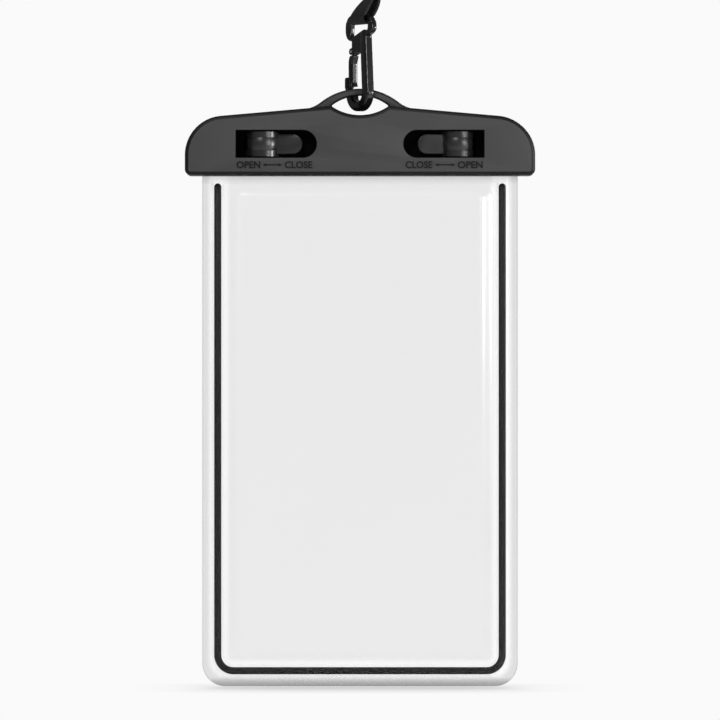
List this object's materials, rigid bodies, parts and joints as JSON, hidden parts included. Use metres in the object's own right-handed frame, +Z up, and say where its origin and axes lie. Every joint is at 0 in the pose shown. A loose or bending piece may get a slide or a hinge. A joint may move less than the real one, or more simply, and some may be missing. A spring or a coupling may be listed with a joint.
{
  "type": "waterproof phone pouch",
  "caption": "Clear flat bag for a phone, closed by a black clamp with cam locks, hanging by its lug from a plastic snap hook on a loop of webbing.",
  "frame": {"origin": "hang point: the top of the inside of the webbing's upper loop, on the bag's middle plane", "axes": "+Z up along the bag's length, +X along the clamp, -Y out of the front sheet"},
  "size_m": [0.1156, 0.0143, 0.2523],
  "materials": {
    "clear_film": "clear, glossy, slightly milky PVC film",
    "black_strip": "black strip welded between the sheets",
    "clamp_plastic": "fine matt black ABS",
    "lock_plastic": "glossy black with knurled bands",
    "hook_plastic": "glossy black acetal",
    "webbing": "black polyester webbing",
    "seal_rubber": "black silicone",
    "steel": "plain steel",
    "crimp_metal": "black painted steel ferrule"
  },
  "bodies": {
    "strap": {"lanyard_strap": "webbing", "strap_crimp": "crimp_metal"},
    "hook": {"hook_body": "hook_plastic", "hook_gate_pin": "steel"},
    "gate": {"hook_gate": "hook_plastic"},
    "pouch": {"front_film": "clear_film", "rear_film": "clear_film", "edge_strip": "black_strip", "clamp_front_shell": "clamp_plastic", "clamp_rear_shell": "clamp_plastic", "front_seal_strip": "seal_rubber", "rear_seal_strip": "seal_rubber", "left_lock_pin": "steel", "right_lock_pin": "steel"},
    "left_lock": {"left_lock_lever": "lock_plastic"},
    "right_lock": {"right_lock_lever": "lock_plastic"}
  },
  "joints": [
    {"name": "hook_swing", "type": "hinge", "parent": "strap", "child": "hook", "pos_m": [0.00034, -0.00049, -0.0302], "axis": [0.5736, -0.8192, 0], "range_deg": [-70, 70]},
    {"name": "pouch_swing", "type": "hinge", "parent": "hook", "child": "pouch", "pos_m": [0, 0, -0.05485], "axis": [1, 0, 0], "range_deg": [-60, 60]},
    {"name": "gate_open", "type": "hinge", "parent": "hook", "child": "gate", "pos_m": [-0.00184, 0.00262, -0.0413], "axis": [-0.8192, -0.5736, 0], "range_deg": [0, 20], "stiffness_Nm_per_rad": 0.005, "springref_deg": -11.46},
    {"name": "left_lock_turn", "type": "hinge", "parent": "pouch", "child": "left_lock", "pos_m": [-0.0324, -0.0008, -0.07215], "axis": [0, 0, -1], "range_deg": [0, 95]},
    {"name": "right_lock_turn", "type": "hinge", "parent": "pouch", "child": "right_lock", "pos_m": [0.0324, -0.0008, -0.07215], "axis": [0, 0, 1], "range_deg": [0, 95]}
  ]
}
